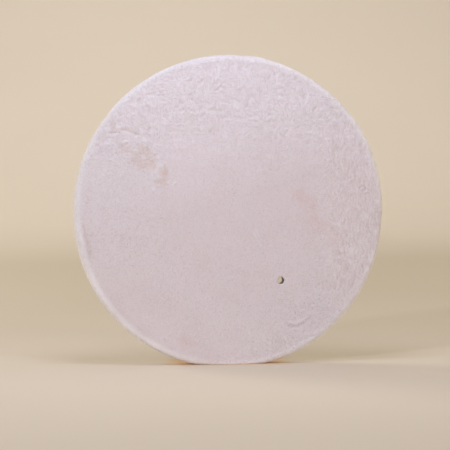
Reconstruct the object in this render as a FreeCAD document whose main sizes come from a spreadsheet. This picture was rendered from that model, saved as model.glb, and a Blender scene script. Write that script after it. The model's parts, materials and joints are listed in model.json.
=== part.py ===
import FreeCAD, Part
import math
import os
import Sketcher

# A flat-faced lapidary polishing wheel: a sheet of wool felt is stretched over a hardboard disc, wrapped
# round its edge and turned in behind it. A flanged hub, bolted to the back of the board, takes the spindle.
#
# The wheel's axis lies along Y and the polishing face looks towards -Y. The origin is on the axis, at the
# rear end of the hub, where the wheel seats against the spindle's shoulder. Lengths are in millimetres.
#
# Each piece is built with its front face at its own Y = 0 and is moved back into the wheel by its Placement.

doc = FreeCAD.newDocument("FeltPolishingWheel")

# ---------------------------------------------------------------- driving dimensions

DIMENSIONS = [
    ("wheel_dia", 203.2, "Diameter over the felt, 8 inches"),
    ("felt_thick", 4.0, "Felt thickness"),
    ("felt_edge", 3.5, "Outer rounding of the felt at the rim"),
    ("hem_dia", 156.0, "Inner diameter of the hem behind the board"),
    ("hem_edge", 1.2, "Rounding of the hem's cut edge"),
    ("core_thick", 6.35, "Hardboard thickness, a quarter inch"),
    ("core_ease", 1.0, "Eased edge of the board"),
    ("pin_dia", 4.8, "Small through-hole in the board and the felt"),
    ("pin_right", 33.4, "Through-hole, to the right of the axis"),
    ("pin_below", 45.0, "Through-hole, below the axis"),
    ("flange_dia", 90.0, "Hub flange diameter"),
    ("flange_thick", 6.0, "Hub flange thickness"),
    ("flange_edge", 1.5, "Rounding of the flange's outer edge"),
    ("boss_dia", 38.0, "Hub boss diameter"),
    ("boss_root", 4.0, "Cast fillet between boss and flange"),
    ("boss_edge", 1.2, "Chamfer at the end of the boss"),
    ("hub_length", 28.0, "Hub length from the board to the rear end"),
    ("bore_dia", 12.75, "Spindle bore, for a half-inch spindle"),
    ("pitch_dia", 66.0, "Screw circle"),
    ("screw_dia", 5.0, "Machine screw diameter"),
    ("screw_length", 20.0, "Screw length, head included"),
    ("screw_slack", 0.25, "Radial clearance of a screw in its hole"),
    ("head_dia", 10.0, "Countersunk head diameter"),
    ("head_sink", 0.2, "Depth of the head below the board's face"),
    ("slot_width", 1.2, "Screwdriver slot width"),
    ("slot_depth", 1.1, "Screwdriver slot depth"),
    ("tip_edge", 0.6, "Chamfer at a screw's tip"),
    ("washer_dia", 9.2, "Lock washer outer diameter"),
    ("washer_hole", 5.2, "Lock washer hole"),
    ("washer_thick", 1.2, "Lock washer thickness"),
    ("washer_split", 0.7, "Gap where the lock washer is split"),
    ("nut_flats", 8.0, "Nut width across flats"),
    ("nut_thick", 4.0, "Nut thickness"),
    ("nut_slack", 0.02, "Radial gap between a nut and its screw"),
    ("grub_dia", 6.0, "Set screw diameter"),
    ("grub_length", 10.0, "Set screw length"),
    ("grub_key", 3.0, "Set screw socket across flats"),
    ("grub_socket", 3.5, "Set screw socket depth"),
    ("grub_back", 9.0, "Set screw axis, forward of the hub's rear end"),
    ("grub_gap", 0.6, "Gap left between a set screw and the bore"),
    ("grub_slack", 0.02, "Radial gap between a set screw and its hole"),
]

SCREW_COUNT = 6
SCREW_STEP = 360.0 / SCREW_COUNT
TIGHTENED_TURN = 47.0  # each fastener stops at a different angle, this many degrees on from the last

sheet = doc.addObject("Spreadsheet::Sheet", "Dims")
for row, (alias, value, words) in enumerate(DIMENSIONS, start=1):
    sheet.set(f"A{row}", words)
    sheet.set(f"B{row}", str(value))
    sheet.setAlias(f"B{row}", alias)
doc.recompute()

# Sizes that follow from the driving dimensions, as expressions.
WHEEL_RADIUS = "Dims.wheel_dia / 2"
CORE_RADIUS = "Dims.wheel_dia / 2 - Dims.felt_thick"
RIM_WIDTH = "Dims.core_thick + 2 * Dims.felt_thick"
HEM_RADIUS = "Dims.hem_dia / 2"
FLANGE_RADIUS = "Dims.flange_dia / 2"
BOSS_RADIUS = "Dims.boss_dia / 2"
BORE_RADIUS = "Dims.bore_dia / 2"
PITCH_RADIUS = "Dims.pitch_dia / 2"
SCREW_RADIUS = "Dims.screw_dia / 2"
HEAD_RADIUS = "Dims.head_dia / 2"
HEAD_DEPTH = "(Dims.head_dia - Dims.screw_dia) / 2"
GRUB_RADIUS = "Dims.grub_dia / 2"
NUT_CORNER = "Dims.nut_flats / 2 / cos(30)"

# Where each piece's front face lies along the wheel's axis.
FLANGE_FRONT = "-Dims.hub_length"
CORE_FRONT = "-Dims.hub_length - Dims.core_thick"
FELT_FRONT = "-Dims.hub_length - Dims.core_thick - Dims.felt_thick"
HEAD_FRONT = "-Dims.hub_length - Dims.core_thick + Dims.head_sink"
WASHER_FRONT = "-Dims.hub_length + Dims.flange_thick"
NUT_FRONT = "-Dims.hub_length + Dims.flange_thick + Dims.washer_thick"


def value_of(expression):
    """The number that an expression over the sheet gives."""
    found = sheet.evalExpression(expression.replace("Dims.", ""))
    return float(found)


# ---------------------------------------------------------------- building blocks


def new_body(label):
    body = doc.addObject("PartDesign::Body", label)
    body.Label = label
    return body


def origin_item(body, role):
    return next(item for item in body.Origin.OriginFeatures if item.Role == role)


def new_sketch(body, name, plane, lift=None):
    """A sketch on one of the body's own origin planes, lifted along the plane's normal if asked."""
    sketch = body.newObject("Sketcher::SketchObject", name)
    sketch.AttachmentSupport = [(origin_item(body, plane), "")]
    sketch.MapMode = "FlatFace"
    if lift is not None:
        sketch.setExpression("AttachmentOffset.Base.z", lift)
    return sketch


def bind(sketch, index, name, expression):
    """Names a dimension and ties it to the sheet."""
    sketch.renameConstraint(index, name)
    sketch.setExpression(f"Constraints.{name}", expression)


def place_point(sketch, geometry, end, name, across, up):
    """Holds a point at (across, up) from the sketch's origin; None keeps it on that axis."""
    if across is None:
        sketch.addConstraint(Sketcher.Constraint("PointOnObject", geometry, end, -2))
    else:
        rule = Sketcher.Constraint("DistanceX", -1, 1, geometry, end, value_of(across))
        bind(sketch, sketch.addConstraint(rule), f"{name}_across", across)
    if up is None:
        sketch.addConstraint(Sketcher.Constraint("PointOnObject", geometry, end, -1))
    else:
        rule = Sketcher.Constraint("DistanceY", -1, 1, geometry, end, value_of(up))
        bind(sketch, sketch.addConstraint(rule), f"{name}_up", up)


def add_outline(sketch, points):
    """A closed outline of straight lines through points (name, across, up)."""
    spots = [
        FreeCAD.Vector(value_of(across) if across else 0, value_of(up) if up else 0, 0)
        for _, across, up in points
    ]
    ends = spots[1:] + spots[:1]
    lines = [sketch.addGeometry(Part.LineSegment(a, b)) for a, b in zip(spots, ends)]
    for line, following in zip(lines, lines[1:] + lines[:1]):
        sketch.addConstraint(Sketcher.Constraint("Coincident", line, 2, following, 1))
    for line, (name, across, up) in zip(lines, points):
        place_point(sketch, line, 1, name, across, up)


def add_circle(sketch, name, radius, across=None, up=None):
    centre = FreeCAD.Vector(value_of(across) if across else 0, value_of(up) if up else 0, 0)
    normal = FreeCAD.Vector(0, 0, 1)
    circle = sketch.addGeometry(Part.Circle(centre, normal, value_of(radius)))
    place_point(sketch, circle, 3, name, across, up)
    rule = Sketcher.Constraint("Radius", circle, value_of(radius))
    bind(sketch, sketch.addConstraint(rule), f"{name}_radius", radius)


def add_hexagon(sketch, corner_radius):
    """A regular hexagon round the sketch's origin, two corners on the vertical axis."""
    radius = value_of(corner_radius)
    corners = [
        FreeCAD.Vector(radius * math.sin(math.radians(a)), radius * math.cos(math.radians(a)), 0)
        for a in range(0, 360, 60)
    ]
    ends = corners[1:] + corners[:1]
    sides = [sketch.addGeometry(Part.LineSegment(a, b)) for a, b in zip(corners, ends)]
    ring = sketch.addGeometry(
        Part.Circle(FreeCAD.Vector(0, 0, 0), FreeCAD.Vector(0, 0, 1), radius), True
    )
    sketch.addConstraint(Sketcher.Constraint("Coincident", ring, 3, -1, 1))
    for side, following in zip(sides, sides[1:] + sides[:1]):
        sketch.addConstraint(Sketcher.Constraint("Coincident", side, 2, following, 1))
        sketch.addConstraint(Sketcher.Constraint("PointOnObject", side, 1, ring))
    for side, following in zip(sides[:-1], sides[1:]):
        sketch.addConstraint(Sketcher.Constraint("Equal", side, following))
    sketch.addConstraint(Sketcher.Constraint("PointOnObject", sides[0], 1, -2))
    rule = Sketcher.Constraint("Radius", ring, radius)
    bind(sketch, sketch.addConstraint(rule), "corner_radius", corner_radius)


def revolve(body, name, points, kind="PartDesign::Revolution"):
    """Turns an outline of (name, along the axis, out from the axis) points round the body's Y axis."""
    sketch = new_sketch(body, f"{name}_sketch", "YZ_Plane")
    add_outline(sketch, points)
    feature = body.newObject(kind, name)
    feature.Profile = sketch
    feature.ReferenceAxis = (sketch, ["H_Axis"])
    feature.Angle = 360.0
    doc.recompute()
    return feature


def cut(body, name, sketch, depth=None, reverse=False):
    """A pocket right through, or to a depth. It must take material away."""
    before = body.Shape.Volume
    feature = body.newObject("PartDesign::Pocket", name)
    feature.Profile = sketch
    feature.Reversed = reverse
    if depth is None:
        feature.Type = "ThroughAll"
    else:
        feature.Type = "Length"
        feature.setExpression("Length", depth)
    doc.recompute()
    if not body.Shape.Volume < before - 1e-3:
        raise RuntimeError(f"{name} cuts nothing from {body.Label}")
    return feature


def repeat_round_axis(body, name, original, count, angle=360.0):
    """A polar pattern of one feature round the body's Y axis."""
    before = body.Shape.Volume
    pattern = body.newObject("PartDesign::PolarPattern", name)
    pattern.Originals = [original]
    pattern.Axis = (origin_item(body, "Y_Axis"), [""])
    pattern.Angle = angle
    pattern.Occurrences = count
    body.Tip = pattern
    doc.recompute()
    if not body.Shape.Volume < before - 1e-3:
        raise RuntimeError(f"{name} repeats nothing on {body.Label}")
    return pattern


def round_edges(feature, radius, along):
    """The names of a feature's circular edges round the Y axis with that radius, at that Y."""
    found = []
    for number, edge in enumerate(feature.Shape.Edges, start=1):
        curve = edge.Curve
        if not isinstance(curve, Part.Circle):
            continue
        on_axis = math.hypot(curve.Center.x, curve.Center.z) < 1e-4
        if on_axis and abs(curve.Radius - radius) < 1e-4 and abs(curve.Center.y - along) < 1e-4:
            found.append(f"Edge{number}")
    if not found:
        raise RuntimeError(f"{feature.Name} has no round edge of radius {radius} at {along}")
    return found


def soften(body, name, kind, size, places):
    """A fillet or chamfer on the round edges at each (radius, along) place."""
    base = body.Tip
    names = []
    for radius, along in places:
        names += round_edges(base, value_of(radius), value_of(along))
    feature = body.newObject(kind, name)
    feature.Base = (base, names)
    feature.setExpression("Radius" if kind == "PartDesign::Fillet" else "Size", size)
    doc.recompute()
    return feature


def move_along(body, expression):
    body.setExpression("Placement.Base.y", expression)


def move_to_screw(body, number, along):
    """Puts a fastener on the screw circle; the first screw is straight above the axis."""
    angle = SCREW_STEP * (number - 1)
    body.Placement.Rotation = FreeCAD.Rotation(FreeCAD.Vector(0, 1, 0), TIGHTENED_TURN * number)
    body.setExpression("Placement.Base.x", f"{PITCH_RADIUS} * sin({angle})")
    body.setExpression("Placement.Base.y", along)
    body.setExpression("Placement.Base.z", f"{PITCH_RADIUS} * cos({angle})")


# ---------------------------------------------------------------- the pieces


def make_felt_cover():
    """One sheet of felt: the face, the rim round the board, and the hem turned in behind it."""
    body = new_body("felt_cover")
    revolve(
        body,
        "cover",
        [
            ("face_centre", None, None),
            ("face_rim", None, WHEEL_RADIUS),
            ("back_rim", RIM_WIDTH, WHEEL_RADIUS),
            ("hem_outside", RIM_WIDTH, HEM_RADIUS),
            ("hem_inside", "Dims.core_thick + Dims.felt_thick", HEM_RADIUS),
            ("board_back", "Dims.core_thick + Dims.felt_thick", CORE_RADIUS),
            ("board_front", "Dims.felt_thick", CORE_RADIUS),
            ("board_centre", "Dims.felt_thick", None),
        ],
    )
    rim = [(WHEEL_RADIUS, "0"), (WHEEL_RADIUS, RIM_WIDTH)]
    soften(body, "rim_rounding", "PartDesign::Fillet", "Dims.felt_edge", rim)
    inside = [(CORE_RADIUS, "Dims.felt_thick"), (CORE_RADIUS, "Dims.core_thick + Dims.felt_thick")]
    soften(body, "board_corner", "PartDesign::Fillet", "Dims.core_ease", inside)
    soften(body, "hem_rounding", "PartDesign::Fillet", "Dims.hem_edge", [(HEM_RADIUS, RIM_WIDTH)])
    cut_pin_hole(body)
    move_along(body, FELT_FRONT)
    return body


def cut_pin_hole(body):
    """The small hole right through the wheel, to the lower right of the axis seen from the front."""
    sketch = new_sketch(body, "pin_hole_sketch", "XZ_Plane")
    spot = FreeCAD.Vector(value_of("Dims.pin_right"), -value_of("Dims.pin_below"), 0)
    hole = sketch.addGeometry(
        Part.Circle(spot, FreeCAD.Vector(0, 0, 1), value_of("Dims.pin_dia / 2"))
    )
    right = Sketcher.Constraint("DistanceX", -1, 1, hole, 3, spot.x)
    bind(sketch, sketch.addConstraint(right), "pin_right", "Dims.pin_right")
    below = Sketcher.Constraint("DistanceY", hole, 3, -1, 1, -spot.y)
    bind(sketch, sketch.addConstraint(below), "pin_below", "Dims.pin_below")
    radius = Sketcher.Constraint("Radius", hole, value_of("Dims.pin_dia / 2"))
    bind(sketch, sketch.addConstraint(radius), "pin_radius", "Dims.pin_dia / 2")
    cut(body, "pin_hole", sketch)


def make_core_disc():
    """The hardboard disc, with a countersunk hole for each screw."""
    body = new_body("core_disc")
    revolve(
        body,
        "board",
        [
            ("front_centre", None, None),
            ("front_edge", None, CORE_RADIUS),
            ("back_edge", "Dims.core_thick", CORE_RADIUS),
            ("back_centre", "Dims.core_thick", None),
        ],
    )
    edges = [(CORE_RADIUS, "0"), (CORE_RADIUS, "Dims.core_thick")]
    soften(body, "eased_edge", "PartDesign::Fillet", "Dims.core_ease", edges)

    sketch = new_sketch(body, "screw_hole_sketch", "XZ_Plane")
    add_circle(sketch, "screw_hole", f"{SCREW_RADIUS} + Dims.screw_slack", None, PITCH_RADIUS)
    doc.recompute()
    before = body.Shape.Volume
    hole = body.newObject("PartDesign::Hole", "screw_hole")
    hole.Profile = sketch
    doc.recompute()
    hole.ThreadType = "None"
    hole.DepthType = "ThroughAll"
    hole.HoleCutType = "Countersink"
    hole.setExpression("Diameter", "Dims.screw_dia + 2 * Dims.screw_slack")
    hole.setExpression("HoleCutDiameter", "Dims.head_dia + 2 * Dims.head_sink")
    hole.HoleCutCountersinkAngle = 90.0
    doc.recompute()
    if not body.Shape.Volume < before - 1e-3:
        raise RuntimeError("screw_hole cuts nothing from core_disc")
    repeat_round_axis(body, "screw_holes", hole, SCREW_COUNT)
    cut_pin_hole(body)
    move_along(body, CORE_FRONT)
    return body


def make_hub_flange():
    """A cast and turned hub: a flange against the board and a boss that holds the spindle."""
    body = new_body("hub_flange")
    revolve(
        body,
        "casting",
        [
            ("bore_front", None, BORE_RADIUS),
            ("flange_front", None, FLANGE_RADIUS),
            ("flange_back", "Dims.flange_thick", FLANGE_RADIUS),
            ("boss_root", "Dims.flange_thick", BOSS_RADIUS),
            ("boss_end", "Dims.hub_length", BOSS_RADIUS),
            ("bore_back", "Dims.hub_length", BORE_RADIUS),
        ],
    )
    soften(
        body,
        "boss_fillet",
        "PartDesign::Fillet",
        "Dims.boss_root",
        [(BOSS_RADIUS, "Dims.flange_thick")],
    )
    soften(
        body,
        "flange_rounding",
        "PartDesign::Fillet",
        "Dims.flange_edge",
        [(FLANGE_RADIUS, "Dims.flange_thick")],
    )
    soften(
        body,
        "boss_chamfer",
        "PartDesign::Chamfer",
        "Dims.boss_edge",
        [(BOSS_RADIUS, "Dims.hub_length")],
    )

    bolt_sketch = new_sketch(body, "bolt_hole_sketch", "XZ_Plane")
    add_circle(bolt_sketch, "bolt_hole", f"{SCREW_RADIUS} + Dims.screw_slack", None, PITCH_RADIUS)
    bolt_hole = cut(body, "bolt_hole", bolt_sketch)
    repeat_round_axis(body, "bolt_holes", bolt_hole, SCREW_COUNT)

    grub_sketch = new_sketch(body, "grub_hole_sketch", "XY_Plane")
    along = "Dims.hub_length - Dims.grub_back"
    add_circle(grub_sketch, "grub_hole", f"{GRUB_RADIUS} + Dims.grub_slack", None, along)
    grub_hole = cut(body, "grub_hole", grub_sketch, BOSS_RADIUS, reverse=True)
    repeat_round_axis(body, "grub_holes", grub_hole, 2, 90.0)
    move_along(body, FLANGE_FRONT)
    return body


def make_screw(number):
    """A slotted countersunk machine screw, its head towards the felt."""
    body = new_body(f"screw_{number}")
    revolve(
        body,
        "blank",
        [
            ("head_centre", None, None),
            ("head_rim", None, HEAD_RADIUS),
            ("head_root", HEAD_DEPTH, SCREW_RADIUS),
            ("shank_end", "Dims.screw_length - Dims.tip_edge", SCREW_RADIUS),
            ("tip_rim", "Dims.screw_length", f"{SCREW_RADIUS} - Dims.tip_edge"),
            ("tip_centre", "Dims.screw_length", None),
        ],
    )
    sketch = new_sketch(body, "slot_sketch", "YZ_Plane", "-Dims.slot_width / 2")
    add_outline(
        sketch,
        [
            ("slot_open", None, None),
            ("slot_top", None, "Dims.head_dia"),
            ("slot_floor_top", "Dims.slot_depth", "Dims.head_dia"),
            ("slot_floor", "Dims.slot_depth", None),
        ],
    )
    half_slot = cut(body, "half_slot", sketch, "Dims.slot_width", reverse=True)
    repeat_round_axis(body, "slot", half_slot, 2)
    move_to_screw(body, number, HEAD_FRONT)
    return body


def make_lock_washer(number):
    """A spring washer, split on one side."""
    body = new_body(f"lock_washer_{number}")
    revolve(
        body,
        "ring",
        [
            ("inside_front", None, "Dims.washer_hole / 2"),
            ("outside_front", None, "Dims.washer_dia / 2"),
            ("outside_back", "Dims.washer_thick", "Dims.washer_dia / 2"),
            ("inside_back", "Dims.washer_thick", "Dims.washer_hole / 2"),
        ],
    )
    sketch = new_sketch(body, "split_sketch", "YZ_Plane", "-Dims.washer_split / 2")
    add_outline(
        sketch,
        [
            ("split_inside_front", None, None),
            ("split_outside_front", None, "Dims.washer_dia"),
            ("split_outside_back", "Dims.washer_thick", "Dims.washer_dia"),
            ("split_inside_back", "Dims.washer_thick", None),
        ],
    )
    cut(body, "split", sketch, "Dims.washer_split", reverse=True)
    move_to_screw(body, number, WASHER_FRONT)
    return body


def make_nut(number):
    """A hexagon nut with the corners of its outer face chamfered."""
    body = new_body(f"nut_{number}")
    sketch = new_sketch(body, "hexagon_sketch", "XZ_Plane")
    add_hexagon(sketch, NUT_CORNER)
    add_circle(sketch, "nut_hole", f"{SCREW_RADIUS} + Dims.nut_slack")
    pad = body.newObject("PartDesign::Pad", "hexagon")
    pad.Profile = sketch
    pad.Reversed = True
    pad.setExpression("Length", "Dims.nut_thick")
    doc.recompute()
    before = body.Shape.Volume
    revolve(
        body,
        "corner_chamfer",
        [
            ("flat_rim", "Dims.nut_thick", "Dims.nut_flats / 2"),
            ("corner_rim", "Dims.nut_thick", "Dims.nut_flats"),
            ("corner_foot", "Dims.nut_thick - Dims.nut_flats / 2 * tan(30)", "Dims.nut_flats"),
        ],
        kind="PartDesign::Groove",
    )
    if not body.Shape.Volume < before - 1e-3:
        raise RuntimeError(f"corner_chamfer cuts nothing from nut_{number}")
    move_to_screw(body, number, NUT_FRONT)
    return body


def make_set_screw(number):
    """A socket set screw, built along Y with its socket at the front and turned to stand in the boss."""
    body = new_body(f"set_screw_{number}")
    revolve(
        body,
        "blank",
        [
            ("socket_centre", None, None),
            ("socket_rim", None, f"{GRUB_RADIUS} - Dims.tip_edge"),
            ("thread_start", "Dims.tip_edge", GRUB_RADIUS),
            ("thread_end", "Dims.grub_length - 2 * Dims.tip_edge", GRUB_RADIUS),
            ("cup_rim", "Dims.grub_length", f"{GRUB_RADIUS} - 2 * Dims.tip_edge"),
            ("cup_floor", "Dims.grub_length - Dims.tip_edge", None),
        ],
    )
    sketch = new_sketch(body, "socket_sketch", "XZ_Plane")
    add_hexagon(sketch, "Dims.grub_key / 2 / cos(30)")
    cut(body, "socket", sketch, "Dims.grub_socket")
    outer_end = f"{BORE_RADIUS} + Dims.grub_gap + Dims.grub_length"
    if number == 1:
        body.Placement.Rotation = FreeCAD.Rotation(FreeCAD.Vector(1, 0, 0), -90)
        body.setExpression("Placement.Base.z", outer_end)
    else:
        body.Placement.Rotation = FreeCAD.Rotation(FreeCAD.Vector(0, 0, 1), 90)
        body.setExpression("Placement.Base.x", outer_end)
    body.setExpression("Placement.Base.y", "-Dims.grub_back")
    return body


# ---------------------------------------------------------------- the wheel

pieces = [make_felt_cover(), make_core_disc(), make_hub_flange()]
for screw_number in range(1, SCREW_COUNT + 1):
    pieces.append(make_screw(screw_number))
    pieces.append(make_lock_washer(screw_number))
    pieces.append(make_nut(screw_number))
pieces += [make_set_screw(1), make_set_screw(2)]
doc.recompute()

for item in doc.Objects:
    if {"Invalid", "Error"} & set(item.State):
        raise RuntimeError(f"{item.Label} did not compute: {item.State}")

for piece in pieces:
    if piece.Shape.isNull() or not piece.Shape.isValid():
        raise RuntimeError(f"{piece.Label} has no valid shape")

os.makedirs("parts", exist_ok=True)
for piece in pieces:
    piece.Shape.exportStep(os.path.join("parts", f"{piece.Label}.step"))
    box = piece.Shape.BoundBox
    print(
        f"{piece.Label}: {piece.Shape.Volume:.1f} mm3, x {box.XMin:.2f}..{box.XMax:.2f},"
        f" y {box.YMin:.2f}..{box.YMax:.2f}, z {box.ZMin:.2f}..{box.ZMax:.2f}"
    )
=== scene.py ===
import json
import math

import bmesh
import bpy
import numpy as np
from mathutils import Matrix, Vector
from mathutils.bvhtree import BVHTree


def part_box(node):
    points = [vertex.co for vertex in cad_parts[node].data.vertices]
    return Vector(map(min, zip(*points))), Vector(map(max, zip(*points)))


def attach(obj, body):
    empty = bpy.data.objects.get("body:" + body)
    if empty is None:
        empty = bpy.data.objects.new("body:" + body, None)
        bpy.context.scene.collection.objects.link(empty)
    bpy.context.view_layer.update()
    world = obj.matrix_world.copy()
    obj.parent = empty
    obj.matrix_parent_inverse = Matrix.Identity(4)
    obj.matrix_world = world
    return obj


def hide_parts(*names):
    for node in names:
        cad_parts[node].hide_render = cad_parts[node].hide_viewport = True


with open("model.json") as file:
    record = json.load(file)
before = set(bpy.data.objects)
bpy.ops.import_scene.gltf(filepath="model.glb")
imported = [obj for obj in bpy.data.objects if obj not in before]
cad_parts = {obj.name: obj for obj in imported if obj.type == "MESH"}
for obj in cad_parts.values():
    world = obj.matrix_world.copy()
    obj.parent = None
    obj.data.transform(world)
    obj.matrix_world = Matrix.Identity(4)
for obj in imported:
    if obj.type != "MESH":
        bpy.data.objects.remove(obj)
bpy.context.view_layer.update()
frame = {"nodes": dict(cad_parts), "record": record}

# The looks of a felt polishing wheel that stands on its edge. The wheel's axis is Y, its face looks
# towards -Y and up is Z, as in the CAD frame. Lengths are in metres; MM turns millimetres into metres.

MM = 0.001

# ---------------------------------------------------------------- places from the frame

felt_low, felt_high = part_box("felt_cover")
core_low, core_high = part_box("core_disc")
mounts = {mount["name"]: mount for mount in frame["record"]["mounts"]}

WHEEL_RADIUS = felt_high.z
FACE = felt_low.y
HEM_BACK = felt_high.y
CORE_RADIUS = core_high.z
CORE_FRONT = core_low.y
CORE_BACK = core_high.y
PIN_X, _, PIN_Z = mounts["pin_hole"]["pos_m"]
PIN_RADIUS = mounts["pin_hole"]["dims"]["r_mm"] * MM

EDGE_ROUND = 3.5 * MM  # the felt's rounding at the rim
HEM_RADIUS = 78.0 * MM  # where the hem behind the board ends
BOSS_RADIUS = 19.0 * MM
SCREEN_PITCH = 1.5 * MM  # the wire screen's print on the back of the hardboard
TURNING_PITCH = 0.35 * MM  # the lathe's grooves on the hub's boss
FOOT_SQUASH = 2.4 * MM  # how far the wheel's weight presses the felt flat on the floor
FLOOR = -WHEEL_RADIUS + FOOT_SQUASH


# ---------------------------------------------------------------- numbers and noise

NOISE_CELLS = 256  # the noise repeats after this many cells; a power of two
NOISE_SHIFT = 1000.0  # cells by which every place is shifted
NOISE_GAIN = 1.6  # brings the noise to about -1 to 1


def smooth(low, high, value):
    """0 below low, 1 above high, and a soft step between."""
    t = np.clip((value - low) / (high - low), 0.0, 1.0)
    return t * t * (3.0 - 2.0 * t)


def bump_at(distance, width):
    """A soft bell: 1 at distance 0, and about a third of that at width."""
    return np.exp(-((distance / width) ** 2))


def noise(points, size, seed):
    """Smooth gradient noise, about -1 to 1. size is the grain, one number or one per axis, in metres."""
    rng = np.random.default_rng(seed)
    order = rng.permutation(NOISE_CELLS)
    order = np.concatenate([order, order, order])
    slopes = rng.normal(size=(NOISE_CELLS, 3))
    slopes /= np.linalg.norm(slopes, axis=1)[:, None]
    where = points / np.asarray(size) + NOISE_SHIFT
    cell = np.floor(where).astype(int)
    inside = where - cell
    ease = inside**3 * (inside * (inside * 6 - 15) + 10)
    total = np.zeros(len(points))
    for corner in np.ndindex(2, 2, 2):
        at = (cell + corner) & (NOISE_CELLS - 1)
        pick = order[order[order[at[:, 0]] + at[:, 1]] + at[:, 2]]
        share = np.prod(np.where(np.array(corner) == 1, ease, 1 - ease), axis=1)
        total += share * (slopes[pick] * (inside - corner)).sum(axis=1)
    return total * NOISE_GAIN


def warped(points, reach, size, seed):
    """The points pushed about by noise, so that patterns made from them curl."""
    push = np.stack([noise(points, size, seed + axis) for axis in range(3)], axis=1)
    return points + reach * push


def ridges(points, size, seed):
    """Thin winding ridges: 1 on a ridge, falling to about -1 between them."""
    return 1.0 - 2.6 * np.abs(noise(points, size, seed))


def to_segment(x, z, start, end):
    """Distance of each point from a straight stroke."""
    (ax, az), (bx, bz) = start, end
    dx, dz = bx - ax, bz - az
    along = np.clip(((x - ax) * dx + (z - az) * dz) / (dx * dx + dz * dz), 0.0, 1.0)
    return np.hypot(x - ax - along * dx, z - az - along * dz)


def to_path(x, z, path):
    """Distance of each point from a bent stroke through the points of path, in millimetres."""
    return np.min([to_segment(x, z, a, b) for a, b in zip(path, path[1:])], axis=0)


# ---------------------------------------------------------------- the felt's surface

# Marks on the face: millimetres right of the axis and above it, seen from the front.
FOLDS = [
    [(-80.5, 61.5), (-78.0, 56.5), (-74.5, 53.0)],
    [(-78.0, 51.8), (-72.5, 51.6)],
    [(-71.5, 53.6), (-66.5, 53.0), (-62.0, 50.8)],
]
RIM_WRINKLE = [(12.2, 101.0), (11.6, 94.0), (12.6, 88.0)]
CENTRE_LINES = [
    [(15.0, -13.5), (17.5, -18.0), (20.5, -22.5)],
    [(17.0, -12.5), (19.5, -17.5)],
]
LOW_CREASE = [(38.0, -74.5), (43.0, -75.6), (48.5, -73.2), (52.5, -69.0)]
SIDE_CREASE = [(-96.2, -8.0), (-94.2, -17.0), (-91.2, -27.0)]
LEVEL_LINES = [
    [(-30.0, 53.0), (-2.0, 52.4)],
    [(-54.0, 64.6), (-6.0, 66.2)],
    [(-62.0, 76.4), (-22.0, 75.4)],
    [(4.0, 79.2), (44.0, 80.2)],
    [(14.0, 59.0), (52.0, 58.0)],
]
RIGHT_LINES = [[(69.0, -33.2), (80.0, -33.0)], [(70.0, -28.0), (78.0, -27.6)]]
WORN_PATCHES = [  # a bent path and how far the wear reaches to either side of it
    ([(-71.0, 41.5), (-64.5, 41.0)], 2.2),
    ([(-63.0, 35.5), (-57.0, 32.4), (-51.5, 30.6)], 4.2),
    ([(-59.0, 42.0), (-54.0, 37.0)], 3.4),
    ([(-43.8, 26.5), (-43.4, 20.0)], 3.6),
    ([(-49.0, 20.2), (-43.5, 19.6)], 1.2),
]
TUFTS = [(-51.0, 25.5), (-49.5, 23.5), (-47.0, 29.0), (-62.5, 40.0), (-57.0, 45.5), (-79.0, 44.0)]
STAIN_PATH = [(46.0, 11.0), (53.0, 4.0), (58.0, -9.0), (70.0, -16.0), (74.0, -30.0)]
STAIN_TAIL = [(72.0, -14.0), (74.0, -34.0)]
LOW_STAIN = (-28.5, -84.0)
SWIRL = (88.0, 14.0)

# How deep or high the marks and the matted wool are, and how wide most lines are in millimetres.
FOLD_DEPTH = 0.34 * MM
FOLD_LIP = 0.12 * MM
WRINKLE_DEPTH = 0.16 * MM
CENTRE_LINE_HEIGHT = 0.12 * MM
LOW_CREASE_DEPTH = 0.26 * MM
LOW_CREASE_LIP = 0.22 * MM
SIDE_CREASE_DEPTH = 0.34 * MM
RIGHT_LINE_DEPTH = 0.22 * MM
LEVEL_LINE_DEPTH = 0.15 * MM
SWIRL_HEIGHT = 0.42 * MM
WORN_DEPTH = 0.26 * MM
LUMP_HEIGHT = 0.10 * MM
SMALL_LUMP_HEIGHT = 0.06 * MM
LOCK_HEIGHT = 0.17 * MM
BAND_HEIGHT = 0.14 * MM
LINE_WIDTH = 0.9

# The rim's bulge, flat, step and nick: degrees round the wheel from its right side upwards.
RIM_BULGE = 31.0
RIM_FLAT = 351.0
STEP_UP = 80.5
STEP_DOWN = 86.0
RIM_NICK = 142.0


def loft_mask(points, x, z, ragged):
    """How lofty the wool on the face is."""
    # The middle and the lower left are pressed smooth. The top, the right, the lower right and the left
    # from a little below the middle upwards stay woolly.
    loft = 0.36 + 0.64 * smooth(12.0, 66.0, z + 5.0 * ragged)
    loft += 0.42 * smooth(44.0, 74.0, x + 4.0 * ragged)
    loft += 0.45 * smooth(52.0, 84.0, 0.7 * x - 0.72 * z + 5.0 * ragged)
    loft += 0.38 * smooth(-30.0, -70.0, x) * smooth(-50.0, -20.0, z)
    return np.clip(loft + 0.10 * noise(points, 22 * MM, 23), 0.25, 1.0)


def wear_and_crease_shade_mask(points, x, z):
    """Where the face is rubbed thin in the worn patches, and where the folds and the side crease get
    painted shade.
    """
    # Painted shade along the folds and in the side crease; the patches below are real wear.
    wear_and_crease_shade = 0.6 * np.max([bump_at(to_path(x, z, path), LINE_WIDTH) for path in FOLDS], axis=0)
    wear_and_crease_shade = np.maximum(wear_and_crease_shade, 0.5 * bump_at(to_path(x, z, SIDE_CREASE), 0.7))
    torn = 0.8 * noise(points, 4.5 * MM, 24) + noise(points, 2.0 * MM, 25)
    for path, reach in WORN_PATCHES:
        away = to_path(x, z, path) / reach + 0.75 * torn
        wear_and_crease_shade = np.maximum(wear_and_crease_shade, 1.0 - smooth(0.45, 1.15, away))
    return wear_and_crease_shade


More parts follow.
